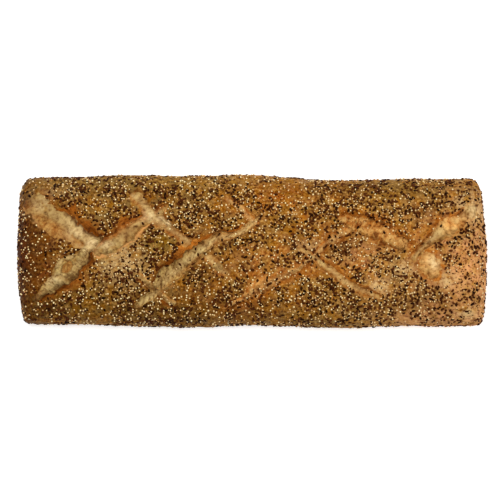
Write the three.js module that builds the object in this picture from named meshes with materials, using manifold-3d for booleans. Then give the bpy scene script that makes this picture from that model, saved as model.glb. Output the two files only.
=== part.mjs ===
// Rustic multigrain loaf: a long hearth-baked slab with a soft lattice of diagonal cuts that tore open
// in the oven, and whole flax seeds baked onto its crust. Millimetres, +Z up. +X runs along the loaf and
// the origin is under the middle of its flat base.
import * as THREE from "three";
import { mergeVertices } from "three/addons/utils/BufferGeometryUtils.js";
import Module from "manifold-3d";

// Driving dimensions of the whole loaf
const LENGTH = 560;
const WIDTH = 178;
const HEIGHT = 75;
const WAIST = 25; // height of the widest line above the base
const TUCK = 15; // how far the long sides curve in from the waist down to the flat base
const SHOULDER_X = 34; // rounding from the waist to the top, at the ends
const SHOULDER_Y = 44; // and along the sides
const SHOULDER_POWER = 2.3; // 2 is a quarter ellipse, more is squarer
const CORNER_POWER = 6.5; // the same for the four corners seen from above
const CROWN_DROP = 8; // how much lower the top lies beside the shoulders than in the middle

// Unevenness of hand-shaped dough: [wavelength, height], and of the torn flesh, which swells in lumps with
// sharp hollows between them
const SWELLS = [[95, 2.4], [38, 1.3], [17, 0.5]];
const FLESH_SWELL = [12, 2.6];
const WAVER = [13, 2.4]; // how far the torn edges waver: wavelength, distance
const EDGE_SWELL = [15, 0.25]; // unevenness of the width that tore open, as a share
const WANDER = [22, 0.25]; // how far the swollen flesh wanders across the cut, as a share of half that width
const PUFF_SWELL = [14, 0.5]; // and how unevenly it swells, as a share
const PUFF_POWER = 3; // 2 swells the flesh as a parabola, more as a flat-topped pillow

// Share of the half length by which each end falls back towards its corners
const LEFT_BOW = { front: 0.019, back: 0.028 };
const RIGHT_BOW = { front: 0, back: 0.031 };

// The cuts, from above. path: where the blade went, as [x, y, half the width that tore open]. depth: how
// far the torn flesh lies below the crust. puff: how far it swells back up, and puffAt: where across it,
// from -1 to 1 at the lip. lip: height of the crust edge that curled up. side: 1 where that lip is on the
// left of the path, -1 where it is on the right. lipFrom: where along the cut it starts. joins: the end that
// runs open into another cut.
const CUTS = [
  {
    path: [
      [-270, 67, 10.5], [-256, 54.5, 12.2], [-238.5, 39, 12.4], [-224, 29.5, 12.6], [-210, 20.5, 12],
      [-198, 13.5, 11], [-188.5, 8, 9.5],
    ],
    depth: 5, puff: 4.5, puffAt: 0.35, lip: 3.5, side: 1, joins: "end", lipFrom: 0.33,
  },
  {
    path: [
      [-260, -59, 3], [-251, -52, 5], [-241.5, -43, 7.6], [-227.5, -31, 9.8], [-215.5, -19.5, 13.8],
      [-201.5, -9, 9.5], [-194.5, 1, 7], [-186, 8, 4.5], [-180, 15, 3],
    ],
    depth: 6, puff: 8, puffAt: -0.1, lip: 2.8, side: -1, joins: "end",
  },
  {
    path: [
      [-181, 2.5, 8.5], [-170, 7, 9.5], [-156, 17, 9.7], [-142, 27, 9], [-128, 36, 6.5],
      [-116, 43.5, 5.5], [-99, 56, 2.5],
    ],
    depth: 6, puff: 4.5, puffAt: -0.2, lip: 3.5, side: 1, joins: "start",
  },
  {
    path: [
      [-146, 70, 4.5], [-139, 64, 7], [-126, 50, 7.5], [-114, 38, 8], [-99, 26.5, 7], [-84, 17, 6],
      [-71, 8, 4.5],
    ],
    depth: 3, puff: 2.8, puffAt: 0, lip: 1.6, side: 1,
  },
  {
    path: [
      [-55, -6, 4], [-46, -13, 5.5], [-37, -21, 5.5], [-28, -28, 3],
    ],
    depth: 2, puff: 0.8, puffAt: 0, lip: 0.8, side: 1,
  },
  {
    path: [
      [-142, -66, 3.5], [-127, -56, 5], [-113, -44, 6.5], [-99, -30, 9.8], [-86, -19.5, 9.5],
      [-71, -7.5, 8.8], [-57, 5, 7.8], [-43, 14, 6.5], [-22, 20, 5.5], [-6, 28, 4.5], [14, 42, 3],
    ],
    depth: 5.5, puff: 4.5, puffAt: -0.2, lip: 3.2, side: 1,
  },
  {
    path: [
      [-137, -28, 3], [-124, -37, 5], [-114, -45, 4.5], [-104, -56, 3], [-90, -61, 2.5],
    ],
    depth: 3, puff: 2.4, puffAt: 0, lip: 1.6, side: -1,
  },
  {
    path: [
      [-32, 64, 2.5], [-15, 51, 4], [-2, 39, 4.5], [9, 29, 3.5],
    ],
    depth: 2.4, puff: 1.8, puffAt: 0, lip: 1.6, side: -1,
  },
  {
    path: [
      [-37, -70, 2], [-20, -62, 3], [-6, -54, 5], [10, -42, 7.5], [28, -31, 7], [48, -24, 4.5],
      [66, -12, 4], [84, 6, 4.5], [104, 20, 5.5], [122, 28, 4],
    ],
    depth: 3.6, puff: 3.2, puffAt: 0, lip: 2.4, side: -1,
  },
  {
    path: [
      [56, 5, 2.5], [67, -3, 3.6], [84, -16, 4.3], [105, -32, 4.6], [120, -41, 4.6], [136, -48, 4.3],
      [153, -58, 2.5],
    ],
    depth: 3, puff: 3, puffAt: 0, lip: 2.2, side: 1,
  },
  {
    path: [
      [102, 44, 3.5], [120, 36, 8], [139, 27.5, 11], [155, 20.5, 11.6], [167, 14.5, 11], [179, 8.5, 9],
      [190, 2, 5],
    ],
    depth: 5, puff: 5, puffAt: 0, lip: 3.4, side: 1,
  },
  {
    path: [
      [189, -9, 3], [198, 0.5, 3.8], [207.5, 9, 4.3], [218, 16.5, 5.4], [230, 25.5, 7.5],
      [243, 33, 8.5], [256, 43, 5.5], [262, 53, 4],
    ],
    depth: 4.5, puff: 5, puffAt: 0, lip: 2.4, side: 1,
  },
];
// Single lumps and hollows of the flesh: a round cushion, the two puffs of the last cut, a smooth pocket, a
// dimple, the place where the left pair of cuts meet, and a knob
const LUMPS = [
  { x: 212.5, y: -16, along: 16, across: 13, turn: 110, height: 5, rough: 1.2 },
  { x: 238, y: 30, along: 13, across: 10, turn: 38, height: 3, rough: 1.4 },
  { x: 262, y: 48, along: 8, across: 7, turn: 40, height: 1.5, rough: 0.8 },
  { x: -168.5, y: 6, along: 14, across: 8, turn: 22, height: 1.5, rough: 0.1 },
  { x: -218, y: -19.5, along: 9, across: 6, turn: 52, height: -3, rough: 0.2 },
  { x: -190, y: 7, along: 10, across: 6.5, turn: 50, height: 1.5, rough: 0.5 },
  { x: -40, y: -18.5, along: 5.5, across: 5, turn: 0, height: 3.2, rough: 0.3 },
];
const CUT_SAMPLES = 28; // straight steps that stand for each cut's curve
const TAPER = 0.12; // share of a cut over which its relief fades out at each end
const LIP_REACH = 8; // how far the lifted crust runs back from the torn edge
const FAR_LIP = 0.3; // height of the edge on the other side, as a share of the lip
const LIP_WALL = [0.75, 1.6]; // where the wall under the lip starts and ends, in half widths
const FAR_WALL = [0.85, 1.2]; // the same for the lower edge on the other side

// Fineness of the surface
const COLUMN_STEP = 9; // along the straight sides
const CORNER_COLUMNS = 6; // round each corner
const SIDE_ROWS = 5; // from the waist up to the top sheet
const UNDER_ROWS = 3; // from the waist down to the base
const TOP_ANGLE = 1.02; // angle up the shoulder where the top sheet begins
const CUT_STEP = 6; // spacing of the points along a cut
const CUT_ROWS = [-1.5, -1.1, -0.75, -0.2, 0.35, 0.78, 1.2, 1.65, 2.1]; // and across it, in half widths
const LUMP_RINGS = [[0, 1], [0.55, 6], [0.95, 9]]; // how far out the points of a lump lie, and how many
const FIELD_STEP = 12.5; // spacing of the points on plain crust
const BARREL = 0.02; // bows the edge of the sheet while it is triangulated, so that no edge points line up

// Whole brown flax seeds, the largest seeds on the crust
const FLAX = { length: 4.6, width: 2.4, thickness: 1.5, sunk: 0.3, count: 170, spacing: 19 };
const SEED_SIDES = 6;
const THROWS = 12000; // tries at placing a seed before giving up
const CLEAR_OF_FLESH = 0.05; // a seed stays where the torn opening is weaker than this
const SEEDS_ABOVE = 32; // height above the base below which the crust carries no whole seeds

const UP = new THREE.Vector3(0, 0, 1);
const halfLength = LENGTH / 2;
const halfWidth = WIDTH / 2;
const clamp = (v, low, high) => Math.min(high, Math.max(low, v));
const mix = (a, b, t) => a + (b - a) * t;

function smooth(from, to, v) {
  const t = clamp((v - from) / (to - from), 0, 1);
  return t * t * (3 - 2 * t);
}

// A repeatable number from 0 to 1 for each corner of a lattice
function latticeValue(i, j, k) {
  const v = Math.sin(i * 127.1 + j * 311.7 + k * 74.7) * 43758.5453;
  return v - Math.floor(v);
}

// Smooth unevenness from -1 to 1 that repeats at no distance
function swell(x, y, z, wavelength) {
  const cell = [x, y, z].map((v) => Math.floor(v / wavelength));
  const [fx, fy, fz] = [x, y, z].map((v, axis) => smooth(0, 1, v / wavelength - cell[axis]));
  const corner = (i, j, k) => latticeValue(cell[0] + i, cell[1] + j, cell[2] + k);
  const along = (j, k) => mix(corner(0, j, k), corner(1, j, k), fx);
  const across = (k) => mix(along(0, k), along(1, k), fy);
  return 2 * mix(across(0), across(1), fz) - 1;
}

const swellsAt = (x, y, z) => SWELLS.reduce((sum, [wave, height]) => sum + height * swell(x, y, z, wave), 0);

// A cut's curve as straight steps, with half its torn width as the third value of each
function traced(path) {
  const points = path.map(([x, y, half]) => new THREE.Vector3(x, y, half));
  return new THREE.CatmullRomCurve3(points, false, "catmullrom").getPoints(CUT_SAMPLES);
}

const cuts = CUTS.map((cut) => ({ ...cut, steps: traced(cut.path) }));

// The nearest place on a cut: how far along it, from 0 to 1 and in mm, how far to its left, and half its
// width there
function placeOn(cut, x, y) {
  let nearest = Infinity;
  let place = null;
  let gone = 0;
  for (let i = 0; i < CUT_SAMPLES; i++) {
    const [a, b] = [cut.steps[i], cut.steps[i + 1]];
    const [ux, uy] = [b.x - a.x, b.y - a.y];
    const size = Math.hypot(ux, uy);
    const share = clamp(((x - a.x) * ux + (y - a.y) * uy) / size ** 2, 0, 1);
    const [dx, dy] = [x - a.x - share * ux, y - a.y - share * uy];
    const distance = Math.hypot(dx, dy);
    if (distance < nearest) {
      nearest = distance;
      const left = (ux * dy - uy * dx < 0 ? -1 : 1) * distance;
      const half = mix(a.z, b.z, share);
      place = { along: (i + share) / CUT_SAMPLES, run: gone + share * size, left, half };
    }
    gone += size;
  }
  return place;
}

// How far the torn edges waver aside at a point
const waverAt = (x, y) => [21, 53].map((z) => WAVER[1] * swell(x, y, z, WAVER[0]));

const lumpsAt = (x, y) => FLESH_SWELL[1] * (2 * Math.abs(swell(x, y, 30, FLESH_SWELL[0])) - 0.5);

// 1 along a cut, falling to 0 at its ends, but not at one that runs open into another cut
function strengthAt(cut, along) {
  const start = cut.joins === "start" ? 1 : smooth(-0.02, TAPER, along);
  const end = cut.joins === "end" ? 1 : smooth(-0.02, TAPER, 1 - along);
  return start * end;
}

// What one cut does to the surface at a point: how far the flesh is torn open there, from 0 to 1, the
// height of the flesh, and the height of the crust edges beside it
function cutProfile(cut, x, y) {
  const [asideX, asideY] = waverAt(x, y);
  const { along, run, left, half: drawn } = placeOn(cut, x + asideX, y + asideY);
  const strength = strengthAt(cut, along);
  const from = cut.lipFrom ?? -0.2;
  const lifted = smooth(from, from + 0.15, along);
  const half = drawn * (1 + EDGE_SWELL[1] * swell(run, 0, 7, EDGE_SWELL[0]));
  const t = (cut.side * left) / half;
  const wall = smooth(...(t > 0 ? LIP_WALL : FAR_WALL), Math.abs(t));
  const bowl = -cut.depth * smooth(-1.1, 0.6, t);
  const off = t - cut.puffAt - WANDER[1] * swell(run, 0, 11, WANDER[0]);
  const uneven = 1 + PUFF_SWELL[1] * swell(run, 0, 13, PUFF_SWELL[0]);
  const crown = Math.max(0, 1 - Math.abs(off / 0.9) ** PUFF_POWER) * uneven;
  const lumps = lumpsAt(x, y) * Math.min(1, cut.depth / 4);
  const beyond = Math.max(0, Math.abs(left) - 1.2 * half) / LIP_REACH;
  const lip = cut.lip * (t > 0 ? lifted : FAR_LIP) * wall * Math.exp(-beyond * beyond);
  return { torn: 1 - wall, flesh: (bowl + cut.puff * crown + lumps) * strength, lip: lip * strength };
}

// The same for one lump or hollow
function lumpProfile(lump, x, y) {
  const turn = THREE.MathUtils.degToRad(lump.turn);
  const [dx, dy] = [x - lump.x, y - lump.y];
  const u = (dx * Math.cos(turn) + dy * Math.sin(turn)) / lump.along;
  const v = (dy * Math.cos(turn) - dx * Math.sin(turn)) / lump.across;
  const t = Math.hypot(u, v);
  const flesh = lump.height * Math.max(0, 1 - t * t) + lump.rough * lumpsAt(x, y);
  return { torn: 1 - smooth(0.75, 1.1, t), flesh };
}

// All the cuts and lumps together at a point
function cutsAt(x, y) {
  const profiles = cuts.map((cut) => cutProfile(cut, x, y));
  const weight = Math.max(1, profiles.reduce((sum, p) => sum + p.torn, 0));
  const crustLeft = profiles.reduce((left, p) => left * (1 - p.torn), 1);
  const flesh = profiles.reduce((sum, p) => sum + p.torn * p.flesh, 0) / weight;
  const lip = profiles.reduce((most, p) => Math.max(most, p.lip), 0) * crustLeft;
  const lumps = LUMPS.map((lump) => lumpProfile(lump, x, y));
  const height = lumps.reduce((sum, p) => sum * (1 - 0.4 * p.torn) + p.torn * p.flesh, flesh + lip);
  return { torn: Math.max(1 - crustLeft, ...lumps.map((p) => p.torn)), height };
}

// How near a place seen from above is to the outline: 0 on the flat of the top, 1 on the outline
function nearness(x, y) {
  const a = clamp(1 - (halfLength - Math.abs(x)) / SHOULDER_X, 0, 1);
  const b = clamp(1 - (halfWidth - Math.abs(y)) / SHOULDER_Y, 0, 1);
  const c = (a ** CORNER_POWER + b ** CORNER_POWER) ** (1 / CORNER_POWER);
  if (c === 0) return { c, outward: [0, 0] };
  const power = CORNER_POWER - 1;
  const slope = (share, sign, size) => (sign * (share / c) ** power) / size;
  return { c, outward: [slope(a, Math.sign(x), SHOULDER_X), slope(b, Math.sign(y), SHOULDER_Y)] };
}

function riseAt(x, y) {
  const drop = 0.7 * (y / halfWidth) ** 2 + 0.3 * (x / halfLength) ** 4;
  return HEIGHT - WAIST - CROWN_DROP * drop;
}

// The plan of the real loaf is not quite a rectangle: its ends bow out and its long sides drift
function warped(x, y, z) {
  const across = y / halfWidth;
  const end = x > 0 ? RIGHT_BOW : LEFT_BOW;
  const bow = 1 - (y > 0 ? end.back : end.front) * across ** 2;
  const far = -0.011 + 0.03 * Math.cos((2 * Math.PI * (x + 100)) / 580) - 0.022 * smooth(120, 250, -x);
  const near = 0.018 - 0.018 * smooth(60, 290, -x) + 0.008 * swell(x, 0, 0, 60);
  return new THREE.Vector3(x * bow, y * (1 + (y > 0 ? far : near) * smooth(0, 1, Math.abs(across))), z);
}

// A smooth point with its unevenness, pushed out along the way it faces
function crustAt(x, y, z, facing, share) {
  const height = swellsAt(x, y, z) + cutsAt(x, y).height;
  const length = Math.hypot(...facing);
  const [px, py, pz] = facing.map((v, axis) => [x, y, z][axis] + (v / length) * height * share);
  return warped(px, py, pz);
}

// A point of the upper crust above a place on the plan, at most as far out as the outline
function upperCrust(x, y) {
  const { c, outward } = nearness(x, y);
  const left = Math.max(0, 1 - c ** SHOULDER_POWER);
  const rise = riseAt(x, y);
  const lean = rise * c ** (SHOULDER_POWER - 1);
  const facing = [lean * outward[0], lean * outward[1], left ** (1 - 1 / SHOULDER_POWER)];
  return crustAt(x, y, WAIST + rise * left ** (1 / SHOULDER_POWER), facing, 1);
}

// Columns round the loaf: a place on the edge of the flat top and the way out from it to the outline
function columnsAround() {
  const [ix, iy] = [halfLength - SHOULDER_X, halfWidth - SHOULDER_Y];
  const columns = [];
  const side = (x0, y0, x1, y1, out) => {
    const count = Math.round(Math.hypot(x1 - x0, y1 - y0) / COLUMN_STEP);
    for (let i = 0; i <= count; i++) {
      columns.push({ x: mix(x0, x1, i / count), y: mix(y0, y1, i / count), out });
    }
  };
  const corner = (sx, sy, from) => {
    for (let i = 1; i < CORNER_COLUMNS; i++) {
      const angle = from + ((Math.PI / 2) * i) / CORNER_COLUMNS;
      const reach = (v, size) => size * Math.sign(v) * Math.abs(v) ** (2 / CORNER_POWER);
      const out = [reach(Math.cos(angle), SHOULDER_X), reach(Math.sin(angle), SHOULDER_Y)];
      columns.push({ x: sx * ix, y: sy * iy, out });
    }
  };
  side(-ix, -iy, ix, -iy, [0, -SHOULDER_Y]);
  corner(1, -1, -Math.PI / 2);
  side(ix, -iy, ix, iy, [SHOULDER_X, 0]);
  corner(1, 1, 0);
  side(ix, iy, -ix, iy, [0, SHOULDER_Y]);
  corner(-1, 1, Math.PI / 2);
  side(-ix, iy, -ix, -iy, [-SHOULDER_X, 0]);
  corner(-1, -1, Math.PI);
  return columns;
}

// A ring of the underside: angle 0 is the waist and a right angle the edge of the base
function underRing(columns, angle) {
  const share = 1 - (TUCK / SHOULDER_Y) * (1 - Math.cos(angle));
  return columns.map(({ x, y, out }) => {
    const { outward } = nearness(x + out[0], y + out[1]);
    const level = Math.cos(angle) / Math.hypot(...outward) / TUCK;
    const facing = [outward[0] * level, outward[1] * level, -Math.sin(angle) / WAIST];
    const z = WAIST * (1 - Math.sin(angle));
    return crustAt(x + out[0] * share, y + out[1] * share, z, facing, Math.cos(angle) ** 2);
  });
}

// A ring of the shoulder, as places on the plan
const shoulderPlan = (columns, angle) => {
  const c = Math.cos(angle) ** (2 / SHOULDER_POWER);
  return columns.map(({ x, y, out }) => [x + out[0] * c, y + out[1] * c]);
};

// Places on the plan for the top sheet: close together along the cuts, sparse on plain crust
function topPlan(edge) {
  const limit = Math.cos(TOP_ANGLE) ** (2 / SHOULDER_POWER) - 0.07;
  const places = [...edge];
  const add = (x, y, clear) => {
    const free = places.every((p) => Math.hypot(p[0] - x, p[1] - y) > clear);
    if (free && nearness(x, y).c < limit) places.push([x, y]);
  };
  for (const lump of LUMPS) {
    const turn = THREE.MathUtils.degToRad(lump.turn);
    for (const [out, count] of LUMP_RINGS) {
      for (let i = 0; i < count; i++) {
        const angle = (2 * Math.PI * i) / count;
        const [u, v] = [lump.along * out * Math.cos(angle), lump.across * out * Math.sin(angle)];
        const [dx, dy] = [u * Math.cos(turn) - v * Math.sin(turn), u * Math.sin(turn) + v * Math.cos(turn)];
        add(lump.x + dx, lump.y + dy, 2.2);
      }
    }
  }
  for (const cut of cuts) {
    const curve = new THREE.CatmullRomCurve3(cut.steps);
    const count = Math.round(curve.getLength() / CUT_STEP);
    for (let i = 0; i <= count; i++) {
      const at = curve.getPointAt(i / count);
      const way = curve.getTangentAt(i / count);
      const reach = (at.z * cut.side) / Math.hypot(way.x, way.y);
      for (const row of CUT_ROWS) {
        const [px, py] = [at.x - way.y * row * reach, at.y + way.x * row * reach];
        const [asideX, asideY] = waverAt(px, py);
        add(px - asideX, py - asideY, 2.2);
      }
    }
  }
  const random = randomFrom(11);
  for (let x = -halfLength; x <= halfLength; x += FIELD_STEP) {
    for (let y = -halfWidth; y <= halfWidth; y += FIELD_STEP) {
      add(x + 5 * (random() - 0.5), y + 5 * (random() - 0.5), 0.55 * FIELD_STEP);
    }
  }
  return places;
}

// Repeatable random numbers from 0 to 1
function randomFrom(seed) {
  let state = seed;
  return () => {
    state = (state + 0x6d2b79f5) | 0;
    let t = Math.imul(state ^ (state >>> 15), 1 | state);
    t = (t + Math.imul(t ^ (t >>> 7), 61 | t)) ^ t;
    return ((t ^ (t >>> 14)) >>> 0) / 2 ** 32;
  };
}

// A triangle with the circle through its corners
function circled(points, corners) {
  const [a, b, c] = corners.map((k) => points[k]);
  const [bx, by, cx, cy] = [b[0] - a[0], b[1] - a[1], c[0] - a[0], c[1] - a[1]];
  const twice = 2 * (bx * cy - by * cx);
  const [bb, cc] = [bx * bx + by * by, cx * cx + cy * cy];
  const [x, y] = [(cy * bb - by * cc) / twice, (bx * cc - cx * bb) / twice];
  return { corners, x: a[0] + x, y: a[1] + y, squared: x * x + y * y };
}

// Delaunay triangles, found by putting in one point after another
function delaunay(points) {
  const far = 1e5;
  const count = points.length;
  const all = [...points, [-3 * far, -far], [3 * far, -far], [0, 3 * far]];
  let triangles = [circled(all, [count, count + 1, count + 2])];
  points.forEach(([x, y], index) => {
    const rim = new Map();
    const kept = [];
    for (const triangle of triangles) {
      if ((x - triangle.x) ** 2 + (y - triangle.y) ** 2 >= triangle.squared) {
        kept.push(triangle);
        continue;
      }
      triangle.corners.forEach((from, i) => {
        const to = triangle.corners[(i + 1) % 3];
        if (!rim.delete(`${to} ${from}`)) rim.set(`${from} ${to}`, [from, to]);
      });
    }
    for (const [from, to] of rim.values()) kept.push(circled(all, [from, to, index]));
    triangles = kept;
  });
  return triangles.map((t) => t.corners).filter((corners) => corners.every((k) => k < count));
}

// Joins two rings of equally many points, the lower one first
function band(lower, upper, count) {
  const faces = [];
  for (let i = 0; i < count; i++) {
    const next = (i + 1) % count;
    faces.push([lower + i, lower + next, upper + next], [lower + i, upper + next, upper + i]);
  }
  return faces;
}

// The loaf without seeds, as one closed surface
function loafGeometry() {
  const columns = columnsAround();
  const count = columns.length;
  const rings = [];
  const step = Math.PI / 2 / UNDER_ROWS;
  for (let row = UNDER_ROWS; row > 0; row--) rings.push(underRing(columns, step * row));
  for (let row = 0; row < SIDE_ROWS; row++) {
    const plan = shoulderPlan(columns, (TOP_ANGLE * row) / SIDE_ROWS);
    rings.push(plan.map(([x, y]) => upperCrust(x, y)));
  }
  const top = topPlan(shoulderPlan(columns, TOP_ANGLE));
  const points = [...rings.flat(), ...top.map(([x, y]) => upperCrust(x, y))];

  const base = THREE.ShapeUtils.triangulateShape(rings[0].map((p) => new THREE.Vector2(p.x, p.y)), []);
  const faces = base.map(([a, b, c]) => [a, c, b]);
  for (let row = 0; row < rings.length; row++) faces.push(...band(row * count, (row + 1) * count, count));
  const bowed = top.map(([x, y]) => [
    x * (1 - BARREL * (y / halfWidth) ** 2),
    y * (1 - BARREL * (x / halfLength) ** 2),
  ]);
  const first = rings.length * count;
  for (const corners of delaunay(bowed)) faces.push(corners.map((k) => first + k));
  return geometryOf(points, faces);
}

function geometryOf(points, faces) {
  const geometry = new THREE.BufferGeometry();
  const values = points.flatMap((p) => [p.x, p.y, p.z]);
  geometry.setAttribute("position", new THREE.Float32BufferAttribute(values, 3));
  geometry.setIndex(faces.flat());
  return geometry;
}

// A flat, pointed seed: one ring of corners between a lower and an upper tip
function seedGeometry({ length, width, thickness }) {
  const points = [new THREE.Vector3(0, 0, -thickness / 2)];
  for (let i = 0; i < SEED_SIDES; i++) {
    const angle = (2 * Math.PI * i) / SEED_SIDES;
    points.push(new THREE.Vector3((Math.cos(angle) * length) / 2, (Math.sin(angle) * width) / 2, 0));
  }
  points.push(new THREE.Vector3(length * 0.06, 0, thickness / 2));
  const faces = [];
  for (let i = 0; i < SEED_SIDES; i++) {
    const [here, next] = [1 + i, 1 + ((i + 1) % SEED_SIDES)];
    faces.push([0, next, here], [here, next, SEED_SIDES + 1]);
  }
  return geometryOf(points, faces);
}

// Triangles of the crust that may carry a seed, with the area that comes before each one
function crustTriangles(geometry) {
  const { position } = geometry.attributes;
  const { array } = geometry.index;
  const triangles = [];
  let area = 0;
  for (let i = 0; i < array.length; i += 3) {
    const corners = [0, 1, 2].map((k) => new THREE.Vector3().fromBufferAttribute(position, array[i + k]));
    const triangle = new THREE.Triangle(...corners);
    if (Math.min(...corners.map((corner) => corner.z)) < SEEDS_ABOVE) continue;
    area += triangle.getArea();
    triangles.push({ triangle, area, facing: triangle.getNormal(new THREE.Vector3()) });
  }
  return triangles;
}

// Seeds thrown at the crust, each kept clear of the torn flesh and of the others
function placedSeeds(kind, geometry) {
  const random = randomFrom(7);
  const triangles = crustTriangles(geometry);
  const total = triangles[triangles.length - 1].area;
  const placed = [];
  for (let i = 0; i < THROWS && placed.length < kind.count; i++) {
    const reached = random() * total;
    const { triangle, facing } = triangles.find(({ area }) => area >= reached);
    const [u, v, turn] = [Math.sqrt(random()), random(), random() * Math.PI];
    const at = triangle.a.clone().multiplyScalar(1 - u).addScaledVector(triangle.b, u * (1 - v));
    at.addScaledVector(triangle.c, u * v);
    if (cutsAt(at.x, at.y).torn > CLEAR_OF_FLESH) continue;
    if (placed.some((other) => other.at.distanceTo(at) < kind.spacing)) continue;
    placed.push({ at, turn, facing });
  }
  return placed.map(({ at, turn, facing }) => {
    const upright = new THREE.Quaternion().setFromUnitVectors(UP, facing);
    const turned = upright.multiply(new THREE.Quaternion().setFromAxisAngle(UP, turn));
    const centre = at.clone().addScaledVector(facing, kind.thickness * (0.5 - kind.sunk));
    const placing = new THREE.Matrix4().compose(centre, turned, new THREE.Vector3(1, 1, 1));
    return seedGeometry(kind).applyMatrix4(placing);
  });
}

const wasm = await Module();
wasm.setup();

function solidOf(geometry) {
  const merged = mergeVertices(geometry, 1e-4);
  return new wasm.Manifold(
    new wasm.Mesh({
      numProp: 3,
      vertProperties: merged.attributes.position.array,
      triVerts: new Uint32Array(merged.index.array),
    }),
  );
}

// Joins solids and gives the result back as a geometry, moved so that its plan is centred
function fused(geometries) {
  const solid = geometries.map(solidOf).reduce((whole, piece) => whole.add(piece));
  const mesh = solid.getMesh();
  const geometry = new THREE.BufferGeometry();
  geometry.setAttribute("position", new THREE.BufferAttribute(mesh.vertProperties, 3));
  geometry.setIndex(new THREE.BufferAttribute(mesh.triVerts, 1));
  geometry.computeBoundingBox();
  const centre = geometry.boundingBox.getCenter(new THREE.Vector3());
  return geometry.translate(-centre.x, -centre.y, -geometry.boundingBox.min.z);
}

const crust = new THREE.MeshStandardMaterial({ color: 0x9a6c36, roughness: 0.72, metalness: 0 });
const plain = loafGeometry();
const loaf = new THREE.Mesh(fused([plain, ...placedSeeds(FLAX, plain)]), crust);
loaf.name = "loaf";

const bread = new THREE.Group();
bread.add(loaf);

export default bread;
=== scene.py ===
import math
from types import SimpleNamespace

import bpy
import numpy as np
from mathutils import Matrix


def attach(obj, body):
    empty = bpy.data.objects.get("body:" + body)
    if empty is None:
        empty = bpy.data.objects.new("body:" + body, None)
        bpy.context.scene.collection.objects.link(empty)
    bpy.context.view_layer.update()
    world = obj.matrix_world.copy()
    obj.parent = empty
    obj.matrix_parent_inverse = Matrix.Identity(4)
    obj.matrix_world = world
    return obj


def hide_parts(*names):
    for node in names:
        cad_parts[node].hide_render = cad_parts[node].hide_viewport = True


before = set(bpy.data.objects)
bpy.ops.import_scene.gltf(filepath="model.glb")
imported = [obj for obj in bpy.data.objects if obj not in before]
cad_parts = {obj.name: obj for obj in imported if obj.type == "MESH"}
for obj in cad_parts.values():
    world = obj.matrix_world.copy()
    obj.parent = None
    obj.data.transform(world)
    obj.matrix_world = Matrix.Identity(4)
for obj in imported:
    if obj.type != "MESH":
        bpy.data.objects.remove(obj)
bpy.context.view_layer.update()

# A rustic multigrain loaf, seen from straight above: a fine closed crust with the cuts torn open in it, and
# flax, millet and poppy seeds scattered over it. The loaf's own sizes are in millimetres, and the scene is
# in metres.

MM = 0.001

# The whole loaf, as in the part's own source
LENGTH = 560
WIDTH = 178
HEIGHT = 75
WAIST = 25  # height of the widest line above the base
TUCK = 15  # how far the long sides curve in from the waist down to the flat base
SHOULDER_X = 34  # rounding from the waist to the top, at the ends
SHOULDER_Y = 44  # and along the sides
SHOULDER_POWER = 2.3  # 2 is a quarter ellipse, more is squarer
CORNER_POWER = 6.5  # the same for the four corners seen from above
CROWN_DROP = 8  # how much lower the top lies beside the shoulders than in the middle
SWELLS = [(95, 2.4), (38, 1.3), (17, 0.5)]  # unevenness of the dough: wavelength, height
FLESH_SWELLS = [(12, 2.6), (6.5, 1.5)]  # lumps of the torn flesh, with sharp hollows between them
WAVER = (13, 2.4)  # how far the torn edges waver: wavelength, distance
EDGE_SWELL = (15, 0.25)  # and of the width that tore open, as a share
WANDER = (22, 0.25)  # how far the swollen flesh wanders across the cut, as a share of half that width
PUFF_SWELL = (14, 0.5)  # and how unevenly it swells, as a share
PUFF_POWER = 3  # 2 swells the flesh as a parabola, more as a flat-topped pillow
PUFF_HALF = 0.9  # half the width of what swells, in half widths of the cut
# Share of the half length by which each end falls back towards its corners: front corner, back corner
LEFT_BOW = (0.019, 0.028)
RIGHT_BOW = (0.0, 0.031)

# Finer forms that the part has too few triangles for: wavelength, and how high or wide
RAGGED = (7, 0.27)  # raggedness of the torn edges, as a share of half the width that tore open
FRAYED = (3.4, 0.2)  # and their finer raggedness
BROWN_SWELL = (13, 0.6)  # how unevenly wide the browned edge is, as a share
FOLDS = (5, 0.9)  # folds of the flesh across the way it was pulled
FOLD_LEAN = 0.6  # how far they lean along that way
FOLD_LENGTH = 0.4  # the smaller this is, the longer they run
CREASES = (4, 0.6)  # fine sharp creases between them
BUMPS = (3, 0.6)  # and the finest bumps
UNEVEN_RANGE = 5  # height of the flesh's unevenness over which its painted shading goes from 0 to 1
BLISTERS = (13, 0.5)  # of the crust
CRUST_SWELLS = [(6, 0.35), (3, 0.2)]  # and its finer roughness
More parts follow.
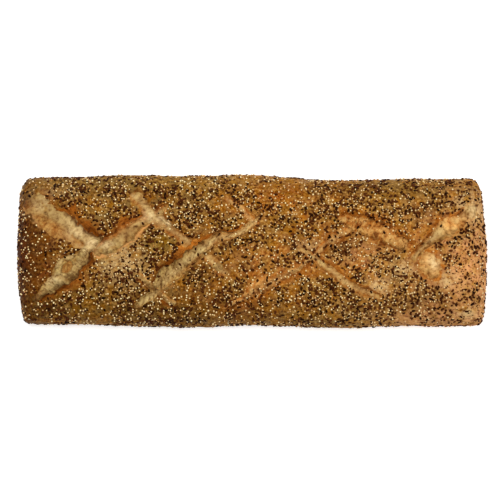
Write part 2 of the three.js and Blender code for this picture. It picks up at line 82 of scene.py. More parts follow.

# The cuts, from above. path: x, y and half the width that tore open. depth, puff, puff_at and lip: how deep
# the flesh lies, how far it swells back up, where across it, and how high the crust edge curled. side: 1
# where that edge is on the left of the path. joins: the end that runs open into another cut. lip_from:
# where along the cut the edge starts to curl. gold: 0 for pale grey flesh, 1 for orange. gold_to: where
# across, from -1 to 1, it turns more golden, where fully, and how much. pale: how strong a painted highlight
# lies on the crown of its flesh, over crumb that dried paler there, and pale_from: where along the cut that
# starts. bare: how few seeds lie on the flesh. rim: how strongly the lifted edge browned. far_rim: the other
# edge, as a share of that, and far_rim_to: where along the cut that stops. rim_width: how wide the browned
# edge is, in half widths, and rim_peak: where along the cut it is widest. folded: how strongly the flesh is
# folded and streaked, slant: by how many degrees the streaks lean, and rough: how lumpy it is. creased: how
# dark the painted shade is in the fold under the lifted edge, and far_crease: under the other one. shown:
# how far out the flesh shows, in half widths.
# USUAL holds for a cut that doesn't say otherwise.
USUAL = dict(
    side=1, puff_at=0, joins=None, lip_from=-0.2, gold=0.0, gold_to=(-0.1, -0.8, 0.4), pale_from=-0.4,
    bare=0.9, rim=1.0, rim_width=0.68, rim_peak=None, far_rim=0.5, far_rim_to=2, slant=0, folded=0.4,
    rough=1, creased=0.65, far_crease=0, shown=1,
)
CUTS = [
    dict(  # back left, torn right out over the end
        path=[(-270, 67, 10.5), (-256, 54.5, 12.2), (-238.5, 39, 12.4), (-224, 29.5, 12.6), (-210, 20.5, 12),
              (-198, 13.5, 11), (-188.5, 8, 9.5)],
        depth=5, puff=4.5, puff_at=0.35, lip=3.5, joins="end", lip_from=0.33, rough=0.6,
        gold_to=(0.1, -0.5, 0.4), pale=0.85, pale_from=0.18, bare=1.0, shown=1.05, creased=1.3,
        rim_width=0.75, far_rim=0.7, far_rim_to=0.25,
    ),
    dict(  # front left, a thick pale pillow
        path=[(-260, -59, 3), (-251, -52, 5), (-241.5, -43, 7.6), (-227.5, -31, 9.8), (-215.5, -19.5, 13.8),
              (-201.5, -9, 9.5), (-194.5, 1, 7), (-186, 8, 4.5), (-180, 15, 3)],
        depth=6, puff=8, puff_at=-0.1, lip=2.8, side=-1, joins="end", rough=0.9, folded=0.8,
        gold_to=(-0.4, -1, 0.2), pale=0.35, bare=1.0, creased=1.3, rim_width=0.55, far_rim=0.2,
    ),
    dict(  # its other half, a pale pocket and a golden band
        path=[(-181, 2.5, 8.5), (-170, 7, 9.5), (-156, 17, 9.7), (-142, 27, 9), (-128, 36, 6.5),
              (-116, 43.5, 5.5), (-99, 56, 2.5)],
        depth=6, puff=4.5, puff_at=-0.2, lip=3.5, joins="start",
        gold=0.25, gold_to=(0.0, 0.6, 0.7), pale=0.3, bare=0.95, creased=0.6, rim_width=0.5, far_rim=1.0,
    ),
    dict(  # second from the back, shallow
        path=[(-146, 70, 4.5), (-139, 64, 7), (-126, 50, 7.5), (-114, 38, 8), (-99, 26.5, 7), (-84, 17, 6),
              (-71, 8, 4.5)],
        depth=3, puff=2.8, lip=1.6, gold=0.3, pale=0.55, rim=0.5, rim_width=0.5,
    ),
    dict(  # a shallow scar beyond that edge
        path=[(-55, -6, 4), (-46, -13, 5.5), (-37, -21, 5.5), (-28, -28, 3)],
        depth=2, puff=0.8, lip=0.8, gold=0.35, pale=0.4, bare=0.85, rim=0.35,
    ),
    dict(  # second from the front, deep with a strong lip
        path=[(-142, -66, 3.5), (-127, -56, 5), (-113, -44, 6.5), (-99, -30, 9.8), (-86, -19.5, 9.5),
              (-71, -7.5, 8.8), (-57, 5, 7.8), (-43, 14, 6.5), (-22, 20, 5.5), (-6, 28, 4.5), (14, 42, 3)],
        depth=5.5, puff=4.5, puff_at=-0.2, lip=3.2, slant=60, folded=0.9,
        pale=0.5, bare=0.95, creased=0.4, rim_width=0.8, rim_peak=0.47,
    ),
    dict(  # a short one across its foot
        path=[(-137, -28, 3), (-124, -37, 5), (-114, -45, 4.5), (-104, -56, 3), (-90, -61, 2.5)],
        depth=3, puff=2.4, lip=1.6, side=-1, gold=0.25, pale=0.2, bare=0.8, rim=0.7,
    ),
    dict(  # third from the back
        path=[(-32, 64, 2.5), (-15, 51, 4), (-2, 39, 4.5), (9, 29, 3.5)],
        depth=2.4, puff=1.8, lip=1.6, side=-1, gold=0.7, pale=0.4, bare=0.5, rim=0.4,
    ),
    dict(  # third from the front, golden
        path=[(-37, -70, 2), (-20, -62, 3), (-6, -54, 5), (10, -42, 7.5), (28, -31, 7), (48, -24, 4.5),
              (66, -12, 4), (84, 6, 4.5), (104, 20, 5.5), (122, 28, 4)],
        depth=3.6, puff=3.2, lip=2.4, side=-1, rough=1.2,
        gold=0.8, pale=0.3, bare=0.65, creased=0.3, rim=0.55, rim_width=0.55,
    ),
    dict(  # fourth, pale
        path=[(56, 5, 2.5), (67, -3, 3.6), (84, -16, 4.3), (105, -32, 4.6), (120, -41, 4.6), (136, -48, 4.3),
              (153, -58, 2.5)],
        depth=3, puff=3, lip=2.2, rough=1.3, gold=0.45, pale=0.4, bare=0.85, rim=0.8,
    ),
    dict(  # right back, wide and wrinkled
        path=[(102, 44, 3.5), (120, 36, 8), (139, 27.5, 11), (155, 20.5, 11.6), (167, 14.5, 11),
              (179, 8.5, 9), (190, 2, 5)],
        depth=5, puff=5, lip=3.4, rough=1.5, folded=0.9,
        gold=1.0, pale=0.1, far_crease=1.0, rim=0.7, rim_width=0.5,
    ),
    dict(  # right front
        path=[(189, -9, 3), (198, 0.5, 3.8), (207.5, 9, 4.3), (218, 16.5, 5.4), (230, 25.5, 7.5),
              (243, 33, 8.5), (256, 43, 5.5), (262, 53, 4)],
        depth=4.5, puff=5, lip=2.4, rough=1.3,
        gold=0.35, gold_to=(0.3, 1.0, 0.5), pale=0.55, shown=1.25, creased=0.1, rim=0.8, rim_width=0.5,
    ),
]
# Single lumps and hollows: x, y, reach along and across, turn in degrees, height, gold, pale and how wrinkled
# pale: how strongly a painted highlight lies on the lump's top, over crumb that dried paler there
LUMPS = [
    (212.5, -16, 16, 13, 110, 5, 0.5, 0.3, 0.6),  # the round cushion that the right back cut ends in
    (238, 30, 13, 10, 38, 3, 0.9, 0.2, 1.0),  # the golden puff in the right front cut
    (262, 48, 8, 7, 40, 1.5, 0.2, 0.9, 0.8),  # the pale one at its end
    (-168.5, 6, 14, 8, 22, 1.5, 0, 0.25, 0.1),  # the smooth pocket left of the middle of the left pair
    (-218, -19.5, 9, 6, 52, -3, 0.35, 0, 0.2),  # the dimple in the pillow
    (-228, -14.5, 9, 3, 52, 2.4, 0, 0.9, 0.3),  # and its pale rim
    (-216.5, -7.5, 6.5, 2.6, 12, 1.6, 0, 0.9, 0.3),
    (-190, 7, 10, 6.5, 50, 1.5, 0.05, 0.9, 0.5),  # where the left pair meet
    (-40, -18.5, 5.5, 5, 0, 3.2, 0, 0.3, 0.3),  # a knob in the scar
    (-103.5, 35.5, 9.5, 2, -34, 2.5, 0, 1.5, 0.2),  # a thin ridge beside the second cut from the back
]
CUT_SAMPLES = 28
TAPER = 0.12  # share of a cut over which its relief fades out at each end
LIP_REACH = 8  # how far the lifted crust runs back from the torn edge
FAR_LIP = 0.3  # height of the edge on the other side, as a share of the lip
LIP_WALL = (0.75, 1.6)  # where the wall under the lip starts and ends, in half widths
FAR_WALL = (0.85, 1.2)
LIP_FALLS = 1.2  # and where the lifted crust starts to fall again
LIP_GROWS = 0.15  # share of a cut over which its edge starts to curl
BOWL = (-1.1, 0.6)  # where across a cut its hollow starts and is deepest
LUMP_WEIGHT = 5  # how much more the looks of a lump count than those of the cut that it lies in
# What colours a point: the first from the cut or lump whose flesh it lies furthest inside, and the second
# from the one whose browned edge it lies furthest inside
FLESH_LOOKS = ("gold", "pale_crown_and_highlight", "relief", "streaky", "painted_crease_shade", "run", "over")
EDGE_LOOKS = ("rim_strength", "far_side")

# Fineness of the crust
STEP = 1.33
UNDER_ROWS = 8

half_length = LENGTH / 2
half_width = WIDTH / 2


def smooth(start, end, v):
    t = np.clip((v - start) / (end - start), 0, 1)
    return t * t * (3 - 2 * t)


def hump(v, middle, spread):
    """1 at the middle and falling away softly on both sides."""
    return np.exp(-(((v - middle) / spread) ** 2))


def lattice_value(i, j, k):
    v = np.sin(i * 127.1 + j * 311.7 + k * 74.7) * 43758.5453
    return v - np.floor(v)


def swell(x, y, z, wavelength):
    """Smooth unevenness from -1 to 1, the same as the part's own. Another z gives another pattern."""
    x, y, z = np.broadcast_arrays(*(np.asarray(v, float) / wavelength for v in (x, y, z)))
    i, j, k = np.floor(x), np.floor(y), np.floor(z)
    fx, fy, fz = (smooth(0, 1, v - cell) for v, cell in ((x, i), (y, j), (z, k)))
    total = 0
    for di in (0, 1):
        for dj in (0, 1):
            for dk in (0, 1):
                weight = (fx if di else 1 - fx) * (fy if dj else 1 - fy) * (fz if dk else 1 - fz)
                total = total + weight * lattice_value(i + di, j + dj, k + dk)
    return 2 * total - 1


def swells(x, y, z, *waves):
    """The same at several sizes, each by wavelength and height."""
    return sum(tall * swell(x, y, z, wave) for wave, tall in waves)


def curve_through(path):
    """The same curve through a cut's points as in the part's source, as straight steps."""
    p = np.array(path, float)
    p = np.vstack([2 * p[0] - p[1], p, 2 * p[-1] - p[-2]])
    spans = len(path) - 1
    steps = []
    for step in range(CUT_SAMPLES + 1):
        at = step * spans / CUT_SAMPLES
        i = min(int(at), spans - 1)
        t = at - i
        a, b, c, d = p[i : i + 4]
        steps.append(
            0.5 * (2 * b + (c - a) * t + (2 * a - 5 * b + 4 * c - d) * t**2 + (3 * b - a - 3 * c + d) * t**3)
        )
    return np.array(steps)


def place_on(cut, x, y):
    """For each point the nearest place on a cut: how far along it, from 0 to 1 and in mm, how far to its
    left, and half its width there."""
    steps = curve_through(cut["path"])
    nearest = np.full(x.shape, np.inf)
    best = np.zeros((4, *x.shape))
    gone = 0
    for i, (a, b) in enumerate(zip(steps, steps[1:])):
        ux, uy = b[0] - a[0], b[1] - a[1]
        size = math.hypot(ux, uy)
        share = np.clip(((x - a[0]) * ux + (y - a[1]) * uy) / size**2, 0, 1)
        dx, dy = x - a[0] - share * ux, y - a[1] - share * uy
        distance = np.hypot(dx, dy)
        left = np.where(ux * dy - uy * dx < 0, -1, 1) * distance
        here = [(i + share) / CUT_SAMPLES, gone + share * size, left, a[2] + share * (b[2] - a[2])]
        best = np.where(distance < nearest, here, best)
        nearest = np.minimum(nearest, distance)
        gone += size
    return best


def wrinkled(x, y, along, across, folded):
    """Unevenness of the torn flesh: lumps, and folds that run across the way it was pulled."""
    lumps = sum(tall * (2 * np.abs(swell(x, y, 30, wave)) - 0.5) for wave, tall in FLESH_SWELLS)
    folds = 1 - 2 * np.abs(swell(along + FOLD_LEAN * across, FOLD_LENGTH * across, 3, FOLDS[0]))
    creases = 1 - 2 * np.abs(swell(x, y, 14, CREASES[0]))
    bumps = swells(x, y, 9, BUMPS)
    return lumps + FOLDS[1] * folded * folds + CREASES[1] * creases + bumps


def closing(cut, along, reach):
    """1 along a cut, falling to 0 at its ends, but not at one that runs open into another cut."""
    start = 1 if cut["joins"] == "start" else smooth(-0.02, reach, along)
    end = 1 if cut["joins"] == "end" else smooth(-0.02, reach, 1 - along)
    return start * end


def place_in(cut, x, y):
    """Where each point lies in a cut whose edges waver. t: how far from its middle, in half widths, with the
    lifted side positive. across: the same without a sign. off: how far from the crown of the flesh. pulled
    and beside: the way the flesh was pulled and across it, in mm."""
    aside_x, aside_y = (swells(x, y, z, WAVER) for z in (21, 53))
    along, run, left, half = place_on(cut, x + aside_x, y + aside_y)
    half = half * (1 + swells(run, 0, 7, EDGE_SWELL))
    t = cut["side"] * left / half
    size = np.abs(t)
    ragged = swells(x, y, 0, RAGGED) + swells(x, y, 5, FRAYED)
    turn = math.radians(cut["slant"]) * (size < 1)
    return SimpleNamespace(
        along=along, run=run, left=left, half=half, t=t,
        across=size + ragged * smooth(0.3, 0.9, size),
        off=t - cut["puff_at"] - swells(run, 0, 11, WANDER),
        pulled=left * np.cos(turn) + run * np.sin(turn),
        beside=run * np.cos(turn) - left * np.sin(turn),
        strength=closing(cut, along, TAPER),
        lifted=smooth(cut["lip_from"], cut["lip_from"] + LIP_GROWS, along),
    )


def cut_relief(cut, at, x, y):
    """How far the flesh is torn open, from 0 to 1, its height and that of the crust edges, in mm."""
    wall = np.where(at.t > 0, smooth(*LIP_WALL, at.across), smooth(*FAR_WALL, at.across))
    bowl = -cut["depth"] * smooth(*BOWL, at.t)
    crown = np.maximum(0, 1 - np.abs(at.off / PUFF_HALF) ** PUFF_POWER)
    crown = crown * (1 + swells(at.run, 0, 13, PUFF_SWELL))
    uneven = wrinkled(x, y, at.beside, at.pulled, cut["folded"]) * min(1, cut["depth"] / 4) * cut["rough"]
    beyond = np.maximum(0, np.abs(at.left) - LIP_FALLS * at.half) / LIP_REACH
    lip = cut["lip"] * np.where(at.t > 0, at.lifted, FAR_LIP) * wall * np.exp(-(beyond**2))
    return dict(
        torn=1 - wall,
        flesh=(bowl + cut["puff"] * crown + uneven) * at.strength,
        lip=lip * at.strength,
        relief=0.5 + uneven / UNEVEN_RANGE,
    )


def cut_looks(cut, at):
    """How far inside the flesh and inside the browned edge a point lies, in half widths, and how strong
    each thing is that colours them."""
    lip_side = at.t > 0
    inside = cut["shown"] - at.across - 1.5 * (1 - closing(cut, at.along, 0.05))
    browned = 1 + swells(at.run, 0, 17, BROWN_SWELL)
    if cut["rim_peak"] is not None:
        browned = browned * (0.45 + 0.75 * hump(at.along, cut["rim_peak"], 0.13))
    far_rim = cut["far_rim"] * (1 - smooth(0, 0.15, at.along - cut["far_rim_to"]))
    far_crease = cut["far_crease"] * smooth(0.4, 0.6, at.along)
    # Painted shade in the fold under the lifted edge, darkest just inside the torn edge
    crease_shade_amount = np.clip(cut["creased"] + 0.9 * swell(at.run, 0, 19, 12), 0, 1) * min(1, cut["depth"] / 5)
    crease_shade_amount = crease_shade_amount * hump(at.across, 0.95, 0.14)
    # Where along the cut the crown's painted highlight, over its paler dried crumb, starts
    crown_highlight_onset = smooth(cut["pale_from"], cut["pale_from"] + 0.35, at.along)
    gold_from, gold_full, more_gold = cut["gold_to"]
    return dict(
        inside=inside,
        rim=inside + np.where(lip_side, cut["rim_width"] * at.lifted * browned, 0.4 * far_rim),
        rim_strength=cut["rim"] * smooth(0, 0.5, at.strength) * np.where(lip_side, 1, far_rim),
        painted_crease_shade=crease_shade_amount * at.strength * np.where(lip_side, at.lifted, far_crease),
        pale_crown_and_highlight=cut["pale"] * hump(at.off, 0.1, 0.5) * at.strength * crown_highlight_onset,
        gold=cut["gold"] + more_gold * smooth(gold_from, gold_full, at.t),
        far_side=1.0 * (at.t < 0),
        bare=cut["bare"],
        streaky=cut["folded"],
        run=at.beside * MM,
        over=at.pulled * MM,
    )


def cut_profile(cut, x, y):
    """What one cut does at each point: its relief, and how the flesh and the edges beside it look."""
    cut = {**USUAL, **cut}
    at = place_in(cut, x, y)
    return {**cut_relief(cut, at, x, y), **cut_looks(cut, at)}


def lump_profile(lump, x, y):
    """The same for one lump or hollow."""
    lx, ly, along, across, turn, tall, gold, pale, rough = lump
    turn = math.radians(turn)
    u = (x - lx) * math.cos(turn) + (y - ly) * math.sin(turn)
    v = (y - ly) * math.cos(turn) - (x - lx) * math.sin(turn)
    t = np.hypot(u / along, v / across) + 0.25 * swell(x, y, 5, 9) + 0.18 * swell(x, y, 8, 4)
    inside = 1 - t
    uneven = rough * wrinkled(x, y, u, v, 0.5)
    return dict(
        torn=1 - smooth(0.75, 1.1, t),
        flesh=tall * np.maximum(0, 1 - t**2) + uneven,
        relief=0.5 + uneven / UNEVEN_RANGE,
        inside=inside,
        rim=inside + 0.22 + 0.2 * swell(x, y, 3, 7),
        rim_strength=0.9 if tall > 2 else 0,  # only the high ones browned round their foot
        painted_crease_shade=0,
        pale_crown_and_highlight=hump(t, 0, 0.8) * pale,
        gold=gold,
        far_side=0,
        bare=1,
        streaky=0.5,
        run=u * MM,
        over=v * MM,
    )


def chosen(profiles, key, which):
    """One value of whichever profile each point takes its looks from."""
    values = np.array([np.broadcast_to(p[key], which.shape) for p in profiles])
    return np.take_along_axis(values, which[None], 0)[0]


def cuts_at(x, y):
    """All the cuts and lumps together at each point."""
    cuts = [cut_profile(cut, x, y) for cut in CUTS]
    lumps = [lump_profile(lump, x, y) for lump in LUMPS]
    torn = np.array([p["torn"] for p in cuts])
    height = sum(p["torn"] * p["flesh"] for p in cuts) / np.maximum(1, torn.sum(axis=0))
    height = height + np.max([p["lip"] for p in cuts], axis=0) * np.prod(1 - torn, axis=0)
    for p in lumps:
        height = height * (1 - 0.4 * p["torn"]) + p["torn"] * p["flesh"]

    both = cuts + lumps
    inside, rim = (np.array([p[key] for p in both]) for key in ("inside", "rim"))
    weight = np.array([1] * len(cuts) + [LUMP_WEIGHT] * len(lumps))
    flesh_of = np.argmax(inside * weight[:, None], axis=0)
    edge_of = np.argmax(rim, axis=0)
    looks = {key: chosen(both, key, flesh_of) for key in FLESH_LOOKS}
    looks.update({key: chosen(both, key, edge_of) for key in EDGE_LOOKS})
    inside, rim = (np.clip(v.max(axis=0), -1, 1) for v in (inside, rim))
    on_flesh = chosen(both, "bare", flesh_of) * smooth(-0.12, 0.06, inside)
    on_edge = 0.95 * looks["rim_strength"] * smooth(-0.08, 0.1, rim)
    looks.update(inside=inside, rim=rim)
    return height, np.maximum(on_flesh, on_edge), looks


def way_out(x, y):
    """The way from the flat of the top out to the outline seen from above."""
    a = np.clip(1 - (half_length - np.abs(x)) / SHOULDER_X, 0, 1)
    b = np.clip(1 - (half_width - np.abs(y)) / SHOULDER_Y, 0, 1)
    c = np.maximum((a**CORNER_POWER + b**CORNER_POWER) ** (1 / CORNER_POWER), 1e-9)
    out_x = np.sign(x) * (a / c) ** (CORNER_POWER - 1) / SHOULDER_X
    out_y = np.sign(y) * (b / c) ** (CORNER_POWER - 1) / SHOULDER_Y
    return out_x, out_y


def warped(x, y, z):
    """The loaf's plan is not quite a rectangle: its ends bow out and its long sides drift."""
    across = y / half_width
    front, back = (np.where(x > 0, right, left) for left, right in zip(LEFT_BOW, RIGHT_BOW))
    bow = 1 - np.where(y > 0, back, front) * across**2
    far = -0.011 + 0.03 * np.cos(2 * math.pi * (x + 100) / 580) - 0.022 * smooth(120, 250, -x)
    near = 0.018 - 0.018 * smooth(60, 290, -x) + 0.008 * swell(x, 0, 0, 60)
    return x * bow, y * (1 + np.where(y > 0, far, near) * smooth(0, 1, np.abs(across))), z


def crust_detail(x, y, z):
    """Blisters and fine roughness that baking leaves on the crust."""
    blisters = BLISTERS[1] * np.maximum(0, swell(x, y, z + 40, BLISTERS[0])) ** 2
    return sum((tall * swell(x, y, z, wave) for wave, tall in CRUST_SWELLS), blisters)


def spread(flat, shoulder, rise):
    """Places across the loaf, as far as the flat part and how far up the shoulder: signed, 0 to 1."""
    arc = math.pi / 2 * math.sqrt((shoulder**2 + rise**2) / 2)
    count = round(arc / STEP)
    up = np.sin(np.linspace(0, math.pi / 2, count + 1)[1:]) ** (2 / SHOULDER_POWER)
    middle = np.linspace(-flat, flat, round(2 * flat / STEP) + 1)
    place = np.concatenate([np.full(count, -flat), middle, np.full(count, flat)])
    return place, np.concatenate([-up[::-1], np.zeros(len(middle)), up])


def upper_points():
    """The upper crust as a grid, and where its points come from: the edge of the flat top and a step out."""
    ix, iy = half_length - SHOULDER_X, half_width - SHOULDER_Y
    place_x, up_x = spread(ix, SHOULDER_X, HEIGHT - WAIST)
    place_y, up_y = spread(iy, SHOULDER_Y, HEIGHT - WAIST)
    px, py = np.meshgrid(place_x, place_y, indexing="ij")
    a, b = np.meshgrid(up_x, up_y, indexing="ij")
    most = np.maximum(np.abs(a), np.abs(b))
    norm = (np.abs(a) ** CORNER_POWER + np.abs(b) ** CORNER_POWER) ** (1 / CORNER_POWER)
    shrink = np.where(norm > 0, most / np.maximum(norm, 1e-9), 1)
    out_x, out_y = a * shrink * SHOULDER_X, b * shrink * SHOULDER_Y
    x, y = px + out_x, py + out_y

    way_x, way_y = way_out(x, y)
    left = 1 - most**SHOULDER_POWER
    drop = 0.7 * (y / half_width) ** 2 + 0.3 * (x / half_length) ** 4
    rise = HEIGHT - WAIST - CROWN_DROP * drop
    lean = rise * most ** (SHOULDER_POWER - 1)
    upper = dict(
        x=x, y=y, z=WAIST + rise * left ** (1 / SHOULDER_POWER),
        fx=lean * way_x, fy=lean * way_y, fz=left ** (1 - 1 / SHOULDER_POWER), share=np.ones(x.shape),
    )
    return upper, (px, py, out_x, out_y, way_x, way_y)


def under_ring(start, row):
    """One ring of the underside, between the waist and the flat base."""
    px, py, out_x, out_y, way_x, way_y = start
    angle = math.pi / 2 * row / UNDER_ROWS
    keep = 1 - TUCK / SHOULDER_Y * (1 - math.cos(angle))
    level = math.cos(angle) / np.hypot(way_x, way_y) / TUCK
    return dict(
        x=px + out_x * keep, y=py + out_y * keep, z=np.full(px.shape, WAIST * (1 - math.sin(angle))),
        fx=way_x * level, fy=way_y * level, fz=np.full(px.shape, -math.sin(angle) / WAIST),
        share=np.full(px.shape, math.cos(angle) ** 2),
    )


def crust_points():
    """All the points: the grid's, then those of each ring. x, y and z: where it is. fx, fy and fz: the way
    it faces. share: how much of the crust's unevenness it gets."""
    upper, start = upper_points()
    nx, ny = upper["x"].shape
    edge = [(i, 0) for i in range(nx)] + [(nx - 1, j) for j in range(1, ny)]
    edge += [(i, ny - 1) for i in range(nx - 2, -1, -1)] + [(0, j) for j in range(ny - 2, 0, -1)]
    i, j = np.array(edge).T
    start = [values[i, j] for values in start]
    rings = [under_ring(start, row) for row in range(1, UNDER_ROWS + 1)]
    points = {key: np.concatenate([upper[key].ravel()] + [ring[key] for ring in rings]) for key in upper}
    return points, (nx, ny), i * ny + j


def crust_faces(size, edge):
    """Four-sided faces over the grid and down the rings, and one face for the base."""
    nx, ny = size
    index = np.arange(nx * ny).reshape(nx, ny)
    quads = np.stack([index[:-1, :-1], index[1:, :-1], index[1:, 1:], index[:-1, 1:]], axis=-1)
    faces = quads.reshape(-1, 4).tolist()
    above = edge
    for row in range(UNDER_ROWS):
        below = nx * ny + row * len(edge) + np.arange(len(edge))
        band = np.stack([above, below, np.roll(below, -1), np.roll(above, -1)], axis=-1)
        faces += band.tolist()
        above = below
    faces.append(above[::-1].tolist())
    return faces


def spots(x, y, places):
    """Soft round patches: each place is x, y, reach along and across, and strength."""
    total = np.zeros(x.shape)
    for px, py, along, across, strength in places:
        total = np.maximum(total, strength * np.exp(-(((x - px) / along) ** 2) - ((y - py) / across) ** 2))
    return total


# Where the crust differs from its usual brown: x, y, reach along, reach across, strength
TINTS = dict(
    pale=[(-153, -10, 24, 26, 0.75), (182, -21, 12, 9, 0.8), (-240, 68, 24, 9, 0.4),
          (256, 54, 12, 14, 0.8), (230, -34, 14, 9, 1), (66, 4, 12, 8, 0.6), (150, -42, 14, 9, 1),
          (257, -73, 12, 7, 1), (268, 44, 8, 10, 0.8)],
    olive=[(-112, 10, 18, 18, 1), (-190, -48, 30, 14, 0.8), (-90, -70, 50, 10, 0.7),
           (185, 74, 30, 12, 0.4), (-180, -60, 110, 30, 0.4), (190, -66, 24, 8, 0.3)],
    orange=[(24, 60, 60, 26, 0.9), (40, -10, 80, 40, 0.7), (-200, -40, 30, 14, 0.3),
            (-244, -26, 14, 20, 0.7), (-20, -60, 60, 20, 0.8), (90, 40, 60, 40, 0.7),
            (-236, 10, 24, 30, 0.4), (64, -56, 20, 10, 1), (170, 20, 50, 40, 0.5), (-50, 40, 40, 16, 0.5),
            (15, -30, 44, 18, 1), (130, -30, 40, 30, 0.5)],
    rosy=[(270, -30, 76, 90, 1), (130, -5, 50, 26, 0.6), (20, -14, 50, 20, 0.3), (240, -76, 90, 28, 1)],
    floury=[(158, 82, 30, 9, 0.7), (-160, 82, 120, 12, 1), (170, 76, 120, 14, 0.3),
            (60, -82, 200, 8, 0.3)],
    browned=[(-292, -6, 76, 110, 1), (-220, -64, 50, 16, 0.3), (-245, 66, 50, 14, 0.4),
             (-100, -66, 150, 36, 0.5), (-150, 66, 110, 22, 0.3), (-110, 10, 120, 60, 0.2),
             (100, 72, 130, 12, 0.3), (112, 10, 24, 18, 0.5), (206, -60, 34, 14, 0.45),
             (206, 48, 24, 10, 0.45), (-56, -22, 50, 14, 0.55), (-250, -62, 50, 26, 0.7),
             (-270, 44, 14, 24, 0.6), (60, 14, 20, 14, 0.3)],
    # painted light on the lifted edges, brightening them to a lit orange with highlights along them
    painted_edge_light=[(-70, 12, 30, 20, 1), (-205, -28, 22, 16, 0.4), (-212, 40, 24, 12, 0.3),
          (-140, 34, 22, 10, 0.9), (-105, 42, 14, 12, 0.6), (150, 30, 60, 20, 1), (245, 40, 30, 20, 0.8),
          (10, -36, 40, 20, 1), (100, -30, 50, 30, 0.6), (-20, 28, 30, 14, 0.8), (212, -16, 24, 24, 1)],
    # painted shade darkening the torn flesh in a few spots
    painted_shade_spots=[(-270, 56, 12, 14, 0.8), (-148, 20, 12, 8, 0.3), (-90, 22, 20, 12, 0.4),
          (-258, -57, 14, 10, 0.8)],
    peach=[(238, 30, 13, 10, 1), (209, -18, 14, 14, 0.9), (255, 40, 10, 8, 0.5), (160, 22, 20, 8, 0.4),
           (14, -40, 14, 7, 0.6)],
    cream=[(-250, 56, 14, 9, 0.35), (-172, 7, 10, 5, 0.6), (-236, -34, 10, 6, 0.4), (215, -14, 7, 8, 0.9),
           (-192, 9, 10, 8, 0.9), (-206, 22, 14, 8, 0.5), (-122, 42, 9, 6, 0.6), (-108, 38.5, 5, 2.5, 1),
           (-100, 33.5, 5, 2.5, 1), (262, 46, 8, 12, 0.5)],
)
# Where the torn flesh is more golden, where flax seeds crowd together and where few landed, in the same way
GOLDEN = [
    (-234, 30, 12, 7, 0.35), (-20, 26, 40, 18, 0.8), (240, 32, 14, 10, 0.9), (150, 24, 50, 20, 0.3),
    (-50, -8, 16, 12, 0.2), (-86, 18, 18, 10, 0.2),
]
CROWDED = [
    (202, -34, 13, 9, 1), (123, -66, 12, 8, 1), (132, -34, 10, 8, 1), (68, -55, 12, 8, 1),
    (99, 39, 10, 8, 1), (112, -48, 10, 7, 1), (-152, 42, 14, 9, 1), (11, 12, 14, 10, 1),
    (177, -59, 12, 8, 1), (168, -7, 10, 8, 1), (150, 42, 12, 8, 1), (105, 3, 10, 10, 0.9),
    (226, 58, 12, 8, 0.9), (-6, -10, 12, 8, 0.9), (87, -39, 8, 7, 0.8), (125, 55, 14, 8, 1),
    (-158, -32, 12, 9, 0.8), (-225, 4, 8, 6, 0.7), (-76, 42, 14, 9, 0.9), (-38, 38, 14, 7, 0.9),
    (34, 35, 12, 9, 0.9), (-69, -30, 12, 8, 0.9), (31, -42, 8, 6, 0.7), (-113, -10, 8, 7, 0.6),
    (133, 76, 40, 8, 0.8), (194, 76, 20, 8, 0.8), (-26, -52, 10, 6, 0.8), (221, -52, 10, 8, 0.7),
]
SPARSE = [
    (-255, -3, 20, 30, 0.8), (-242, -28, 14, 14, 0.7), (-177, -66, 16, 10, 0.6), (-37, 57, 12, 9, 0.7),
    (94, 64, 10, 6, 0.6), (48, -39, 12, 8, 0.8), (-214, -42, 12, 10, 0.8), (-110, 10, 18, 14, 0.8),
    (211, -67, 12, 8, 0.7), (-63, 28, 10, 6, 0.7), (44, 68, 16, 10, 0.7), (-49, 10, 14, 8, 0.6),
    (-80, -54, 14, 9, 0.7), (-144, -8, 16, 12, 0.8), (-190, -30, 14, 10, 0.5), (-40, -20, 12, 10, 0.6),
    (253, -22, 22, 26, 0.6), (75, 15, 14, 12, 0.5), (60, -20, 12, 6, 0.5),
]

# How the seeds gathered: in drifts, by wavelength, strength and which pattern, and in small clumps
SEED_DRIFTS = [(26, 1.2, 80), (12, 1.1, 120)]
SEED_CLUMPS = (7, 1.4)
SEEDS_FROM = (8, 22)  # heights above the base where the first seeds lie and where they all do
LEFT_END = (-200, -275)  # where flax and millet start to thin out towards the left end, and are thinnest
RIGHT_END = (205, 255)  # and millet towards the right


def crust_looks(x, y, z, up, bare, looks):
    """How baked, pale or tinted the crust is, and how thickly the seeds of each kind lie on it."""
    tints = {name: spots(x, y, places) for name, places in TINTS.items()}
    pale = tints["pale"]
    # The seeds were thrown from above, so few stuck to the sides
    crust = (1 - bare) * smooth(*SEEDS_FROM, z) * (0.3 + 0.7 * up)
    few = crust * (1 - 0.4 * smooth(*LEFT_END, x))
    drifts = sum(strength * swell(x, y, z + at, wave) for wave, strength, at in SEED_DRIFTS)
    drifts = drifts * (1 - 0.5 * smooth(210, 245, x))
    fine = swells(x, y, z + 60, SEED_CLUMPS)
    gathered = 1.1 * spots(x, y, CROWDED) - 0.8 * spots(x, y, SPARSE)
    flax_share = (1 - 0.6 * pale) * (1 - 0.2 * smooth(235, 270, x))
    millet_share = 1 - 0.3 * pale - 0.7 * smooth(*RIGHT_END, x)
    on_top = 1 - 0.28 * smooth(40, 72, np.abs(y))
    more_poppy = 0.5 * pale + 0.5 * smooth(190, 260, x)
    flax = (0.6 + 0.55 * drifts + 0.5 * fine + gathered) * few * flax_share
    millet = (0.94 + 0.2 * drifts + 0.35 * fine + 0.2 * gathered) * few * millet_share * on_top
    poppy = (0.45 + 0.3 * fine + more_poppy) * crust
    return {
        **tints, **looks,
        "gold": np.clip(looks["gold"] + spots(x, y, GOLDEN), 0, 1),
        "halo": looks["rim_strength"] * smooth(-1, 0, looks["rim"]) * (1 - looks["far_side"]),
        "flax_cover": np.clip(flax, 0, 1),
        "millet_cover": np.clip(millet, 0, 1),
        "poppy_cover": np.clip(poppy, 0, 1),
    }


